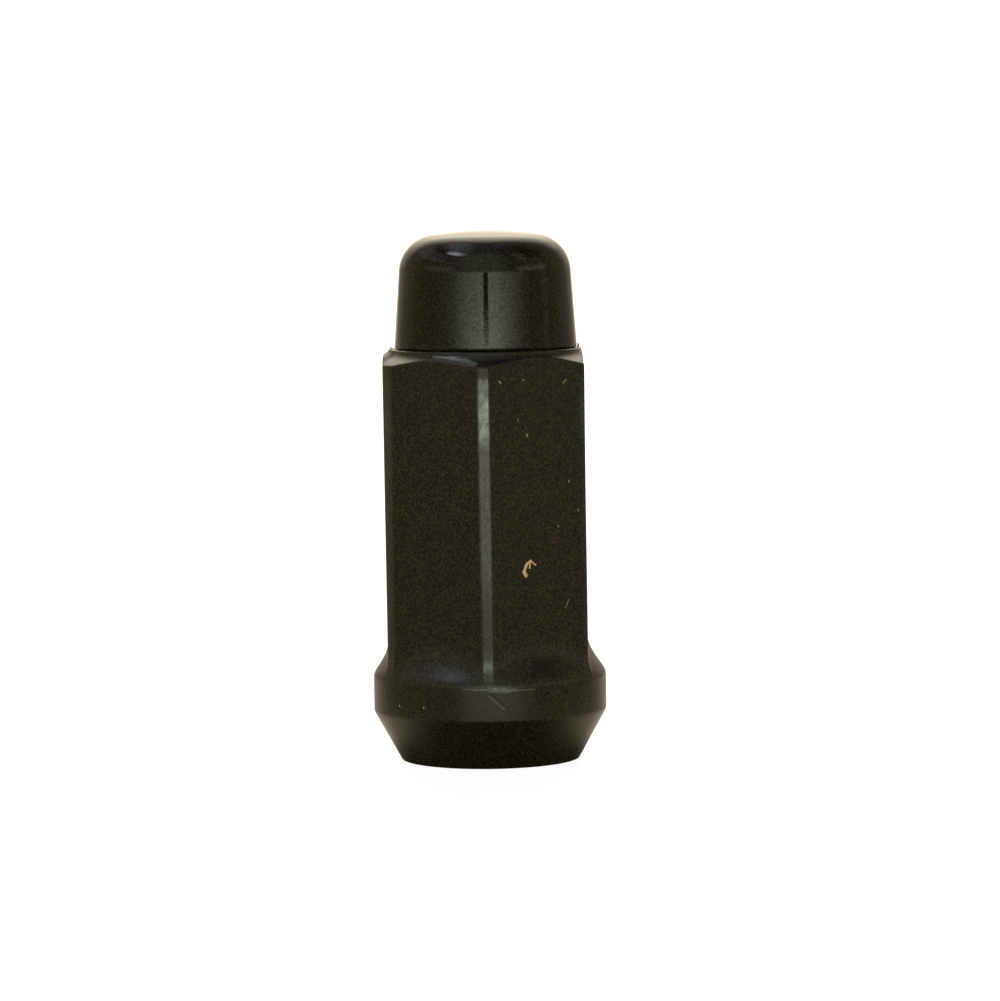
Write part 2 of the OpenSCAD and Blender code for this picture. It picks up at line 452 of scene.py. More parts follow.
    # Flat end face between the hole's mouth and the seat's edge
    end_width = n("SUBTRACT", end_radius, size.mouth_radius)
    end_face = n("MULTIPLY_ADD", climb, end_width, size.mouth_radius)

    # Each grid is wrapped round the axis, and their rims are merged into one closed shell. The skin and the
    # bore each carry a named value for the materials.
    join = n("GeometryNodeJoinGeometry")
    wraps = (
        ("end face", 1, end_face, 0.0, {}),
        ("skin", skin_rows, skin, height, {"Name": "land", "Value": wear_and_highlight}),
        ("shoulder", shoulder_rows, shoulder_radius, shoulder_height, {}),
        ("bore", thread_rows, bore, thread_height, {"Name": "bore", "Value": 1.0}),
    )
    for label, cells, radius, level, named in wraps:
        x = n("MULTIPLY", radius, cosine)
        y = n("MULTIPLY", radius, sine)
        grid = n("GeometryNodeMeshGrid", 1.0, 1.0, COLUMNS + 1, cells + 1)
        if named:
            grid = n("GeometryNodeStoreNamedAttribute", sockets={"Geometry": grid, **named})
        spot = n("ShaderNodeCombineXYZ", x, y, level)
        wrapped = n("GeometryNodeSetPosition", sockets={"Geometry": grid, "Position": spot}, label=label)
        tree.links.new(wrapped.outputs[0], join.inputs[0])
    shade = "GeometryNodeSetShadeSmooth"
    merged = n("GeometryNodeMergeByDistance", sockets={"Geometry": join, "Distance": MERGE_DISTANCE})
    smooth = n(shade, sockets={"Geometry": merged, "Shade Smooth": True})
    bends = n("GeometryNodeInputMeshEdgeAngle").outputs["Unsigned Angle"]
    crease = n("FunctionNodeCompare", bends, CREASE, operation="GREATER_THAN")
    sharp = {"Geometry": smooth, "Selection": crease, "Shade Smooth": False}
    real = n("GeometryNodeRealizeInstances", n(shade, sockets=sharp, domain="EDGE"))
    coated = n("GeometryNodeSetMaterial", sockets={"Geometry": real, "Material": coat})
    in_bore = n("GeometryNodeInputNamedAttribute", sockets={"Name": "bore"}, data_type="FLOAT")
    cut = n("FunctionNodeCompare", in_bore, 0.5, operation="GREATER_THAN")
    tapped = n("GeometryNodeSetMaterial", sockets={"Geometry": coated, "Selection": cut, "Material": thread})
    n("NodeGroupOutput", tapped)
    return tree


# Steps of the arcs in the cap's section: outside, inside and round the rim
OUTER_STEPS = 16
INNER_STEPS = 8
RIM_STEPS = 6
# Rows of the cap's straight side, as shares of its height from the top down
SIDE_SHARES = (0.02, 0.34, 0.67, 0.98)


def arc_points(centre, radius, start, end, steps):
    """Points along an arc in the half section, from one angle to another."""
    turns = [start + (end - start) * i / steps for i in range(steps + 1)]
    return [(centre[0] + radius * math.cos(t), centre[1] + radius * math.sin(t)) for t in turns]


def cup_profile(sizes, depth, steps):
    """Half section of the cup that lies this deep inside the cap's outer surface: the radius of its side at
    the rim, and its bend and dome up to the axis."""
    side = sizes.rim_radius - depth / math.cos(sizes.draft)
    corner = sizes.corner - depth
    crown = sizes.crown - depth
    crown_centre = sizes.top - sizes.crown
    lean = math.tan(sizes.draft)
    # The corner's arc touches the drafted side and the crown, so its centre solves a quadratic
    foot = side - corner / math.cos(sizes.draft)
    drop = sizes.foot - crown_centre
    a = 1 + lean * lean
    b = drop - lean * foot
    c = foot * foot + drop * drop - (crown - corner) ** 2
    rise = (-b + math.sqrt(b * b - a * c)) / a
    centre = (foot - rise * lean, sizes.foot + rise)
    to_crown = math.atan2(centre[1] - crown_centre, centre[0])
    bend = arc_points(centre, corner, sizes.draft, to_crown, steps)
    dome = arc_points((0, crown_centre), crown, to_crown, math.pi / 2, steps)
    return side, bend + dome[1:]


def lathe(name, profile, segments):
    """Turns a closed half section, whose two ends lie on the axis, into a mesh object with closed poles."""
    bm = bmesh.new()
    rings = []
    for radius, height in profile[1:-1]:
        ring = []
        for i in range(segments):
            t = 2 * math.pi * i / segments
            ring.append(bm.verts.new((radius * math.cos(t), radius * math.sin(t), height)))
        rings.append(ring)
    poles = [bm.verts.new((0, 0, height)) for _, height in (profile[0], profile[-1])]
    for i in range(segments):
        j = (i + 1) % segments
        bm.faces.new((poles[0], rings[0][j], rings[0][i]))
        bm.faces.new((poles[1], rings[-1][i], rings[-1][j]))
        for upper, lower in zip(rings, rings[1:]):
            bm.faces.new((upper[i], upper[j], lower[j], lower[i]))
    bmesh.ops.recalc_face_normals(bm, faces=bm.faces)
    for face in bm.faces:
        face.smooth = True
    for edge in bm.edges:
        edge.smooth = edge.calc_face_angle(0) < CREASE
    mesh = bpy.data.meshes.new(name)
    bm.to_mesh(mesh)
    bm.free()
    piece = bpy.data.objects.new(name, mesh)
    bpy.context.scene.collection.objects.link(piece)
    return piece


def end_cap_profile(sizes):
    """Half section of the cap from the crown down its outside, round the rim and up its inside."""
    side, outer = cup_profile(sizes, 0, OUTER_STEPS)
    inner_side, inner = cup_profile(sizes, sizes.wall, INNER_STEPS)
    edge = sizes.rim_edge
    lean = math.tan(sizes.draft)
    # The rim's edge arc touches the rim's flat foot and the drafted side
    reach = edge * math.tan(math.pi / 4 + sizes.draft / 2)
    centre = (side - reach, sizes.foot + edge)
    rim = arc_points(centre, edge, sizes.draft, -math.pi / 2, RIM_STEPS)
    top_of_rim = rim[0]
    low_of_bend = outer[0]
    straight = []
    for share in SIDE_SHARES:
        height = low_of_bend[1] + (top_of_rim[1] - low_of_bend[1]) * share
        straight.append((low_of_bend[0] + (low_of_bend[1] - height) * lean, height))
    return outer[::-1] + straight + rim + [(inner_side, sizes.foot)] + inner


# Direction that the flat to the right of the front corner faces
RIGHT_FLAT = math.radians(-60)

# Marks on the nut, in millimetres. Each has its two ends and its half width. An end on the right flat is a
# place across the flat and a height. An end on a turned surface is a turn round the axis in degrees, a height
# and how far inside the collar's band it is.
CHIP_STROKES = (
    ((-1.38, 18.36), (-1.6, 18.7), 0.16),
    ((-1.6, 18.72), (-1.3, 19.4), 0.13),
    ((-1.3, 19.42), (-0.86, 19.7), 0.11),
    ((-0.86, 19.7), (-0.3, 19.28), 0.07),
    ((-0.94, 19.46), (-0.97, 19.04), 0.08),
)
SPECK_STROKES = (
    ((3.25, 15.8), (2.91, 15.05), 0.035),
    ((-4.0, 36.7), (-3.85, 36.55), 0.07),
    ((-1.45, 36.8), (-1.35, 36.7), 0.05),
    ((2.95, 36.3), (3.25, 36.6), 0.045),
    ((-2.04, 33.05), (-2.04, 32.95), 0.05),
    ((-1.08, 31.6), (-1.08, 31.5), 0.09),
    ((3.45, 27.05), (3.42, 26.95), 0.06),
    ((4.41, 24.25), (4.41, 24.15), 0.05),
    ((2.24, 22.85), (2.22, 22.75), 0.05),
)
COLLAR_SPECKS = (
    ((-140.5, 6.0), (-140.2, 5.95), 0.07),
    ((-124.4, 6.05), (-124.3, 5.98), 0.07),
    ((-44.8, 8.7), (-44.7, 8.65), 0.05),
)
# The dent's raised edge, and a short tick beside it
COLLAR_SCRATCHES = (
    ((-90.9, 7.24), (-83.2, 5.94), 0.06),
    ((-71.2, 7.78), (-68.1, 7.74), 0.05),
)
# The dent itself, and two pits beside the corners
COLLAR_PITS = (
    ((-89.6, 7.35), (-83.6, 6.32), 0.09),
    ((-38.9, 9.45, 0.64), (-38.6, 9.4, 0.64), 0.11),
    ((-174.9, 9.75, 0.9), (-174.5, 9.5, 0.8), 0.16),
)
# A darker patch in the right scoop, and painted shade on the right chamfer and along the ring under the cap
DARK_PATCH_AND_SHADE_STROKES = (
    ((-63, 9.7, 0.95), (-59, 9.75, 0.95), 0.75),
    ((-84, 38.5, 1.2), (-72, 38.7, 1.55), 0.45),
    ((-104, 39.15, 2.05), (-38, 39.15, 2.05), 0.3),
)
# Painted highlights, drawn as rubbed steel: a line along the collar's upper edge, and a glint on the chamfer
# beside the front corner
COLLAR_EDGE_HIGHLIGHT = (
    ((-103, 7.88), (-97, 7.86), 0.04),
    ((-98, 7.86), (-89, 7.83), 0.09),
    ((-90, 7.83), (-81, 7.79), 0.22),
    ((-81, 7.79), (-77, 7.77), 0.12),
    ((-77, 7.77), (-72, 7.75), 0.04),
)
CHAMFER_GLINT = (
    ((-122, 38.95, 1.93), (-110.8, 38.84, 1.83), 0.1),
    ((-110.8, 38.84, 1.83), (-103, 38.66, 1.6), 0.2),
    ((-103, 38.66, 1.6), (-96.5, 38.38, 1.1), 0.3),
)
# How far the coat is rubbed off the corners, by height in millimetres; the rise and fall along the height also
# paint the front corner's highlight
RUB_TOP = 38
WEAR_AND_HIGHLIGHT_BY_HEIGHT = (
    (8.1, 0), (8.8, 0.16), (9.3, 0.2), (9.7, 0.42), (10.1, 0.4), (10.7, 0.16), (12, 0.08), (16, 0.1),
    (20, 0.25), (29, 0.3), (31.5, 0.66), (33.5, 0.84), (35, 0.68), (36, 0.58), (36.8, 0.52), (37.3, 0)
)
# How strongly each kind of mark shows
COLLAR_HIGHLIGHT_STRENGTH = 0.36
CHAMFER_GLINT_STRENGTH = 0.5
SPECK_STRENGTH = 0.7
SCRATCH_STRENGTH = 0.22
PIT_STRENGTH = 0.75
PATCH_AND_SHADE_STRENGTH = 0.85
# A stroke is full inside the first share of its half width, and gone outside the second
STROKE_CORE = 0.5
STROKE_FADE = 1.5

# Widths of the patterns in the materials
CLOUD_WIDTH = 1.2 * MM
GRAIN_WIDTH = 0.2 * MM
MOTTLE_WIDTH = 0.45 * MM
TOOL_LINE_WIDTH = 0.12 * MM
OIL_WIDTH = 2.5 * MM
FIBRE_WIDTH = 3 * MM
# Most values of a noise lie in the wide span, and its middle ones in the narrow span
WIDE_SPAN = (0.3, 0.7)
NARROW_SPAN = (0.35, 0.65)
# How strongly the grain changes the coat's colour, on the body and on the cap, and how coloured it is itself
GRAIN = 11.0
CAP_GRAIN = 7.0
GRAIN_TINT = 0.2
# Heights in millimetres over which the coarse forged faces begin over the collar and end below the chamfer
FACES_BEGIN = (8.0, 8.8)
FACES_END = (38.5, 38.0)
# The turned surfaces' share of the faces' grain and of their bump
TURNED_GRAIN = 0.6
TURNED_BUMP = 0.25
# How much of the rubbed coat and the painted highlights shows in the darkest and the lightest patches of its
# mottle
RUB_PATCHES = (0.4, 1.2)
# How weak the gloss of the cap's coat gets where it is thin, and how far oil darkens the thread
THIN_COAT = 0.5
OIL_SHARE = 0.7
# Roughness of the body's coat, and what is added to it on the forged faces and in the chip
BODY_ROUGHNESS = (0.22, 0.32)
FACE_ROUGHNESS = 0.09
CHIP_ROUGHNESS = 0.4
CAP_ROUGHNESS = (0.03, 0.05)
THREAD_ROUGHNESS = (0.3, 0.5)
# Depths of the bumps, and how many times as deep as the grain a chip or pit is
BODY_BUMP = 0.014 * MM
CAP_BUMP = 0.003 * MM
THREAD_BUMP = 0.006 * MM
PIT_DEPTH = 4.0


def on_right_flat(spot, sizes):
    """Place on the flat to the right of the front corner."""
    across, height = spot
    outward = Vector((math.cos(RIGHT_FLAT), math.sin(RIGHT_FLAT), 0))
    along = Vector((-outward.y, outward.x, 0))
    offset = sizes.flat_offset + height * MM * math.tan(sizes.flat_lean)
    reach = sizes.flat_radius - offset * outward.x
    return outward * reach + along * across * MM + Vector((0, 0, height * MM))


def round_axis(spot, sizes):
    """Place on a turned surface."""
    turn, height, *inset = spot
    radius = sizes.collar_radius - sum(inset) * MM
    return Vector((math.cos(math.radians(turn)) * radius, math.sin(math.radians(turn)) * radius, height * MM))


def stroke_group():
    """Shader group that marks a short stroke between two points: 1 on the stroke, fading at its edge."""
    tree = bpy.data.node_groups.new("Stroke mark", "ShaderNodeTree")
    for name in ("Place", "Start", "End"):
        tree.interface.new_socket(name, in_out="INPUT", socket_type="NodeSocketVector")
    tree.interface.new_socket("Half Width", in_out="INPUT", socket_type="NodeSocketFloat")
    tree.interface.new_socket("Mark", in_out="OUTPUT", socket_type="NodeSocketFloat")
    n = partial(add_node, tree)
    given = n("NodeGroupInput").outputs
    run = n(VECTOR_MATH, given["End"], given["Start"], operation="SUBTRACT")
    away = n(VECTOR_MATH, given["Place"], given["Start"], operation="SUBTRACT")
    along = n(VECTOR_MATH, away, run, operation="DOT_PRODUCT").outputs["Value"]
    square = n(VECTOR_MATH, run, run, operation="DOT_PRODUCT").outputs["Value"]
    share = n("DIVIDE", along, square, use_clamp=True)
    nearest = n(VECTOR_MATH, sockets={"Vector": run, "Scale": share}, operation="SCALE")
    gap = n(VECTOR_MATH, away, nearest, operation="DISTANCE").outputs["Value"]
    fade = n("MULTIPLY", given["Half Width"], STROKE_FADE)
    core = n("MULTIPLY", given["Half Width"], STROKE_CORE)
    n("NodeGroupOutput", n(MAP_RANGE, gap, fade, core, 0.0, 1.0))
    return tree


def new_material(name):
    """An empty node material with its shader, which is already linked to the output."""
    material = bpy.data.materials.new(name)
    material.use_nodes = True
    return material, material.node_tree, material.node_tree.nodes["Principled BSDF"]


def speckled(tree, place, black, strength, share):
    """Fine grain of a coat, about 0.2 mm wide, which is coarser than the real grit so that it shows, and the
    coat's colour with that grain in it."""
    n = partial(add_node, tree)
    grain = n(NOISE, sockets={"Vector": place, "Scale": 1 / GRAIN_WIDTH, "Detail": 2.0, "Roughness": 0.7})
    colours = {"Factor": GRAIN_TINT, "A": grain.outputs[0], "B": grain.outputs["Color"]}
    tinted = n(MIX, sockets=colours, data_type="RGBA")
    speckle = n(VECTOR_MATH, tinted, (strength,) * 3, (1 - strength / 2,) * 3, operation="MULTIPLY_ADD")
    layers = {"Factor": share, "A": black, "B": speckle}
    coat = n(MIX, sockets=layers, data_type="RGBA", blend_type="MULTIPLY", clamp_result=True)
    return grain, coat


def forged_coat(colours, sizes):
    """Black electro-coat over forged steel: satin and warm black with a fine, cloudy grain, rubbed down to
    grey steel along the turned corners, with a chip, specks and a dent from use. The rubbed front corner also
    paints its highlight, rubbed strokes paint highlights on the collar's upper edge and the chamfer, and dark
    strokes paint shade on the chamfer and along the ring."""
    material, tree, shader = new_material("Electro-coated forged steel, black")
    n = partial(add_node, tree)
    place = n("ShaderNodeTexCoord").outputs["Object"]
    group = stroke_group()

    def strokes(marks, where):
        """Value that is 1 on any of these marks."""
        total = 0.0
        for start, end, half_width in marks:
            ends = {"Place": place, "Start": where(start, sizes), "End": where(end, sizes)}
            mark = n("ShaderNodeGroup", sockets={**ends, "Half Width": half_width * MM}, node_tree=group)
            total = n("MAXIMUM", total, mark)
        return total

    # The forged flats and scoops are coarser than the turned collar, corners and chamfer
    height = n("ShaderNodeSeparateXYZ", place).outputs["Z"]
    land = n("ShaderNodeAttribute", attribute_name="land").outputs["Fac"]
    over_collar, below_chamfer = (
        n(MAP_RANGE, height, start * MM, end * MM, 0.0, 1.0) for start, end in (FACES_BEGIN, FACES_END)
    )
    forged = n("MINIMUM", over_collar, below_chamfer)
    faces = n("SUBTRACT", forged, land, use_clamp=True)
    coarse_grain = n("MULTIPLY_ADD", faces, 1 - TURNED_GRAIN, TURNED_GRAIN)
    coarse_bump = n("MULTIPLY_ADD", faces, 1 - TURNED_BUMP, TURNED_BUMP)

    # Paler clouds in the black, and the grain over them
    clouds = n(NOISE, sockets={"Vector": place, "Scale": 1 / CLOUD_WIDTH, "Detail": 3.0, "Roughness": 0.6})
    cloudy = n(MAP_RANGE, clouds, *NARROW_SPAN, 0.0, 1.0)
    blacks = {"Factor": cloudy, "A": (*colours.coat, 1), "B": (*colours.coat_light, 1)}
    black = n(MIX, sockets=blacks, data_type="RGBA")
    grain, coat = speckled(tree, place, black, GRAIN, coarse_grain)

    # The wear on the lands, which also paints the front corner's highlight, and the painted highlights on the
    # collar's edge and the chamfer are mottled; the wear is strongest near the cap
    upright = n("ShaderNodeMapping", sockets={"Vector": place, "Scale": (1, 1, 0.5)})
    mottle = n(NOISE, sockets={"Vector": upright, "Scale": 1 / MOTTLE_WIDTH, "Detail": 4.0, "Roughness": 0.7})
    patchy = n(MAP_RANGE, mottle, *WIDE_SPAN, *RUB_PATCHES)
    climb = n(MAP_RANGE, height, 0.0, RUB_TOP * MM, 0.0, 1.0)
    wear_and_highlight = n("ShaderNodeFloatCurve", sockets={"Value": climb})
    points = wear_and_highlight.mapping.curves[0].points
    points[0].location = (0, 0)
    points[-1].location = (1, 0)
    for level, amount in WEAR_AND_HIGHLIGHT_BY_HEIGHT:
        points.new(level / RUB_TOP, amount)
    wear_and_highlight.mapping.update()
    land_wear_and_highlight = n("MULTIPLY", land, wear_and_highlight)
    # Painted highlight along the collar's upper edge and painted glint on the chamfer, drawn as rubbed steel
    collar_highlight = strokes(COLLAR_EDGE_HIGHLIGHT, round_axis)
    chamfer_glint = strokes(CHAMFER_GLINT, round_axis)
    land_wear_and_collar_highlight = n("MULTIPLY_ADD", collar_highlight, COLLAR_HIGHLIGHT_STRENGTH, land_wear_and_highlight)
    rubs_and_highlights = n("MULTIPLY_ADD", chamfer_glint, CHAMFER_GLINT_STRENGTH, land_wear_and_collar_highlight)
    rub_and_highlight = n("MULTIPLY", rubs_and_highlights, patchy)

    # Specks, scratches, a dent, a deep chip, a darker patch in the right scoop, and painted shade on the
    # chamfer and along the ring
    flat_specks = strokes(SPECK_STROKES, on_right_flat)
    specks = n("MAXIMUM", flat_specks, strokes(COLLAR_SPECKS, round_axis))
    scratches = strokes(COLLAR_SCRATCHES, round_axis)
    faint = n("MULTIPLY_ADD", scratches, SCRATCH_STRENGTH, n("MULTIPLY", specks, SPECK_STRENGTH))
    pits = strokes(COLLAR_PITS, round_axis)
    # Painted shade on the chamfer and along the ring, and a darker patch in the right scoop
    patches_and_shade = strokes(DARK_PATCH_AND_SHADE_STROKES, round_axis)
    deep = n("MULTIPLY", pits, PIT_STRENGTH)
    dark = n("MULTIPLY_ADD", patches_and_shade, PATCH_AND_SHADE_STRENGTH, deep, use_clamp=True)
    chip = strokes(CHIP_STROKES, on_right_flat)
    layers = ((rub_and_highlight, colours.rubbed), (faint, colours.speck), (dark, colours.dark_marks_and_shade), (chip, colours.chip))
    for share, tint in layers:
        coat = n(MIX, sockets={"Factor": share, "A": coat, "B": (*tint, 1)}, data_type="RGBA")

    matt = n(MAP_RANGE, grain, *WIDE_SPAN, *BODY_ROUGHNESS)
    rougher = n("MULTIPLY_ADD", faces, FACE_ROUGHNESS, matt)
    roughness = n("MULTIPLY_ADD", chip, CHIP_ROUGHNESS, rougher)
    relief = n("MULTIPLY_ADD", n("MAXIMUM", chip, pits), -PIT_DEPTH, grain)
    bump = n("ShaderNodeBump", sockets={"Strength": coarse_bump, "Distance": BODY_BUMP, "Height": relief})
    set_inputs(tree, shader, {
        "Base Color": coat, "Metallic": rub_and_highlight, "Roughness": roughness, "IOR": 1.5, "Normal": bump
    })
    return material


def drawn_coat(colours):
    """The same coat over drawn sheet steel: smoother and glossier, so that lamps show as clear streaks."""
    material, tree, shader = new_material("Electro-coated drawn steel, black")
    n = partial(add_node, tree)
    place = n("ShaderNodeTexCoord").outputs["Object"]
    grain, coat = speckled(tree, place, (*colours.cap_coat, 1), CAP_GRAIN, 1.0)
    matt = n(MAP_RANGE, grain, *WIDE_SPAN, *CAP_ROUGHNESS)
    # Where the grain is dark, the coat is thin and its gloss is weaker
    thin = n(MAP_RANGE, grain, *reversed(WIDE_SPAN), 0.0, THIN_COAT)
    bump = n("ShaderNodeBump", sockets={"Strength": 0.2, "Distance": CAP_BUMP, "Height": grain})
    set_inputs(tree, shader, {
        "Base Color": coat, "Metallic": thin, "Roughness": matt, "IOR": 1.55, "Normal": bump
    })
    return material


def cut_thread(colours):
    """Cut and oiled steel: grey ridges with fine tool lines along the thread, darker between them."""
    material, tree, shader = new_material("Cut and oiled steel")
    n = partial(add_node, tree)
    place = n("ShaderNodeTexCoord").outputs["Object"]
    across = n("ShaderNodeMapping", sockets={"Vector": place, "Scale": (0.15, 0.15, 1)})
    lines = n(NOISE, sockets={"Vector": across, "Scale": 1 / TOOL_LINE_WIDTH, "Detail": 2.0})
    oil = n(NOISE, sockets={"Vector": place, "Scale": 1 / OIL_WIDTH, "Detail": 3.0})
    oiled = n(MAP_RANGE, oil, *NARROW_SPAN, 0.0, OIL_SHARE)
    tones = {"Factor": oiled, "A": (*colours.thread, 1), "B": (*colours.coat, 1)}
    steel = n(MIX, sockets=tones, data_type="RGBA")
    matt = n(MAP_RANGE, lines, *WIDE_SPAN, *THREAD_ROUGHNESS)
    bump = n("ShaderNodeBump", sockets={"Strength": 0.4, "Distance": THREAD_BUMP, "Height": lines})
    set_inputs(tree, shader, {
        "Base Color": steel, "Metallic": 0.85, "Roughness": matt, "Normal": bump
    })
    return material


WHITE = (1, 1, 1, 1)

# The floor is a hair's breadth under the nut's end face, so that the two don't lie in one plane. A hole that
# the end face covers lets light from below reach that face and the thread.
FLOOR_REACH = 6
FLOOR_GAP = 0.01 * MM
FLOOR_HOLE = 8.3 * MM
# How light the camera sees the floor, how much darker its fibres are, and its tint in mirrors
FLOOR_GLOW = 0.96
FIBRE_SHADE = 0.94
MIRROR_TINT = "#fff0d0"

# In the tables below, slopes rise from 0 to 1 between two values of a measure, and are multiplied. Azimuth is
# the turn from the nut's front to the right, spread is the same to either side, and elevation is the height
# over the horizon, all in degrees. Reach is the distance from the axis in millimetres.

# Light and shade painted on the floor, which only mirrors see: radiance and slopes
FLOOR_PAINTED_LIGHT = (
    (0.04, (("reach", 10, 40),)),
    (0.42, (("azimuth", -27, -19), ("azimuth", 54, 14), ("reach", 12, 45))),
    (0.12, (("spread", 75, 130), ("reach", 8, 18))),
    (0.22, (("spread", 112, 135), ("reach", 35, 50), ("reach", 130, 80))),
    (0.25, (("spread", 148, 168), ("reach", 60, 120))),
    (0.5, (("spread", 30, 80), ("reach", 9, 14), ("reach", 50, 25))),
)

# The room round the nut: its dim level, and then the radiance, tint and slopes of each light part
ROOM_LEVEL = 0.05
ROOM_TINT = "#fff8e7"
ROOM = (
    # Front window, its bright middle, its sill and the wall over it
    (0.75, "#f0fbe2", (("azimuth", -54, -4), ("azimuth", 66, 8), ("elevation", 10, 6.3))),
    (0.4, "#f0fbe2", (("azimuth", -16, 2), ("azimuth", 24, 9), ("elevation", 9, 6.3))),
    (0.6, "#f0fbe2", (("azimuth", -54, -4), ("azimuth", 66, 8), ("elevation", 6.5, 5.6))),
    (0.4, "#f0fbe2", (("azimuth", -40, -4), ("azimuth", 40, 8), ("elevation", 5.75, 5.5))),
    (0.46, "#f0fbe2", (("azimuth", -75, -20), ("azimuth", 58, 8), ("elevation", 80, 50))),
    # Backdrop, its lit upper part, the wall beside it and the ceiling
    (0.85, "#fff3d8", (("spread", 154, 175), ("elevation", 82, 62))),
    (1.6, "#fff8e8", (("spread", 132, 170), ("elevation", 12, 36), ("elevation", 76, 50))),
    (0.35, "#fff3d8", (("spread", 128, 150), ("elevation", -4, 9), ("elevation", 40, 25))),
    (0.2, "#ffeccc", (("spread", 100, 135), ("elevation", 85, 70))),
    (0.2, "#eef0ff", (("elevation", 58, 84),)),
    # Side walls with a light band low on each, a glow higher on the left one and a lit edge on the right one
    (0.2, "#ffe6b4", (("spread", 35, 60), ("spread", 135, 105), ("elevation", 42, 30))),
    (0.5, "#fff4e0",
     (("azimuth", 38, 52), ("azimuth", 100, 80), ("elevation", 6, 10), ("elevation", 22, 15))),
    (0.25, "#fff4e0",
     (("azimuth", -38, -52), ("azimuth", -100, -80), ("elevation", 6, 10), ("elevation", 20, 14))),
    (0.3, "#eef0ff",
     (("azimuth", -50, -75), ("azimuth", -140, -115), ("elevation", 27, 35), ("elevation", 52, 44))),
    (0.3, "#fff4e0",
     (("azimuth", 45, 55), ("azimuth", 76, 66), ("elevation", 30, 36), ("elevation", 60, 50))),
    (0.12, "#dfe6ff", (("azimuth", 78, 81), ("azimuth", 91, 88), ("elevation", 40, 30))),
    # Lamp at the upper left with its soft surround
    (5.0, "#e4e9ff",
     (("azimuth", -90, -62), ("azimuth", -32, -60), ("elevation", 49, 54.5), ("elevation", 64, 55))),
    (0.75, "#dfe6ff",
     (("azimuth", -165, -120), ("azimuth", -15, -80), ("elevation", 54, 66), ("elevation", 86, 68))),
)
# Dark upright post in the front window
POST = (("azimuth", -2.6, -1.8), ("azimuth", 4.4, 3.6), ("elevation", 5.5, 5.62), ("elevation", 8.5, 6.8))
POST_COLOUR = "#191919"

# Full-frame sensor, in millimetres, and the least distance that the camera sees
SENSOR_WIDTH = 36
CLIP_START = 0.01

# Lamps, which mirrors don't see, because they see the room: place, width, height, direction of the height,
# radiance and tint
NUT_MIDDLE = (0, 0, 0.03)
LAMPS = {
    "strip_lamp": ((-0.242, -0.041, 0.62), 0.05, 0.33, (-0.17, 0.98, 0), 4.5, "#dfe6ff"),
    "fill_left": ((-0.7, -0.19, 0.05), 0.4, 0.08, (0, 0, 1), 33.0, "#fff4e0"),
    "fill_right": ((0.7, -0.19, 0.05), 0.4, 0.08, (0, 0, 1), 36.0, "#fff4e0"),
    "fill_back": ((0, 0.7, 0.4), 0.4, 0.4, (0, 0, 1), 4.0, "#fff4e0"),
}


def bearings(tree, spot):
    """Azimuth and spread of a place or a direction."""
    away = add_node(tree, "MULTIPLY", spot["Y"], -1.0)
    azimuth = add_node(tree, "ARCTAN2", spot["X"], away)
    return {"azimuth": azimuth, "spread": add_node(tree, "ABSOLUTE", azimuth)}


def sloped(tree, measures, slopes, full, interpolation):
    """An amount that is full where all slopes are 1."""
    for measure, start, end in slopes:
        unit = MM if measure == "reach" else math.radians(1)
        ends = (start * unit, end * unit, 0.0, 1.0)
        slope = add_node(tree, MAP_RANGE, measures[measure], *ends, interpolation_type=interpolation)
        full = add_node(tree, "MULTIPLY", slope, full)
    return full


def smooth_floor(colour_value):
    """Smooth grey sheet with a soft gloss and the nut's shadow. The camera sees it lit up to white, mirrors
    see it a little brighter than it is, with painted light in front of the nut and behind it and a painted
    shadow close by, and from below it isn't there, so that the nut's end shows."""
    material, tree, shader = new_material("Smooth sheet")
    n = partial(add_node, tree)
    place = n("ShaderNodeTexCoord").outputs["Object"]
    path = n("ShaderNodeLightPath").outputs
    fibres = n(NOISE, sockets={"Vector": place, "Scale": 1 / FIBRE_WIDTH, "Detail": 3.0})
    darker = tuple(FIBRE_SHADE * c for c in colour_value)
    tones = {"Factor": fibres, "A": (*colour_value, 1), "B": (*darker, 1)}
    sheet = n(MIX, sockets=tones, data_type="RGBA")
    tints = {"Factor": path["Is Glossy Ray"], "A": WHITE, "B": (*linear(MIRROR_TINT), 1)}
    tint = n(MIX, sockets=tints, data_type="RGBA")
    # Only mirrors see this painted light: brighter on the sheet in front of the nut and behind it, with a
    # painted shadow close by
    reach = n(VECTOR_MATH, place, operation="LENGTH").outputs["Value"]
    measures = {**bearings(tree, n("ShaderNodeSeparateXYZ", place).outputs), "reach": reach}
    lit = 0.0
    for radiance, slopes in FLOOR_PAINTED_LIGHT:
        light = sloped(tree, measures, slopes, radiance, "SMOOTHSTEP")
        lit = n("ADD", lit, light)
    mirrored = n("MULTIPLY", path["Is Glossy Ray"], lit)
    glow = n("MULTIPLY_ADD", path["Is Camera Ray"], FLOOR_GLOW, mirrored)
    set_inputs(tree, shader, {
        "Base Color": sheet, "Roughness": 0.3, "Specular IOR Level": 0.1,
        "Emission Color": tint, "Emission Strength": glow,
    })
    hole = n("LESS_THAN", reach, FLOOR_HOLE)
    behind = n("ShaderNodeNewGeometry").outputs["Backfacing"]
    clear = n("MAXIMUM", behind, hole)
    mixed = n("ShaderNodeMixShader", clear, shader, n("ShaderNodeBsdfTransparent"))
    tree.links.new(mixed.outputs[0], tree.nodes["Material Output"].inputs["Surface"])
    return material


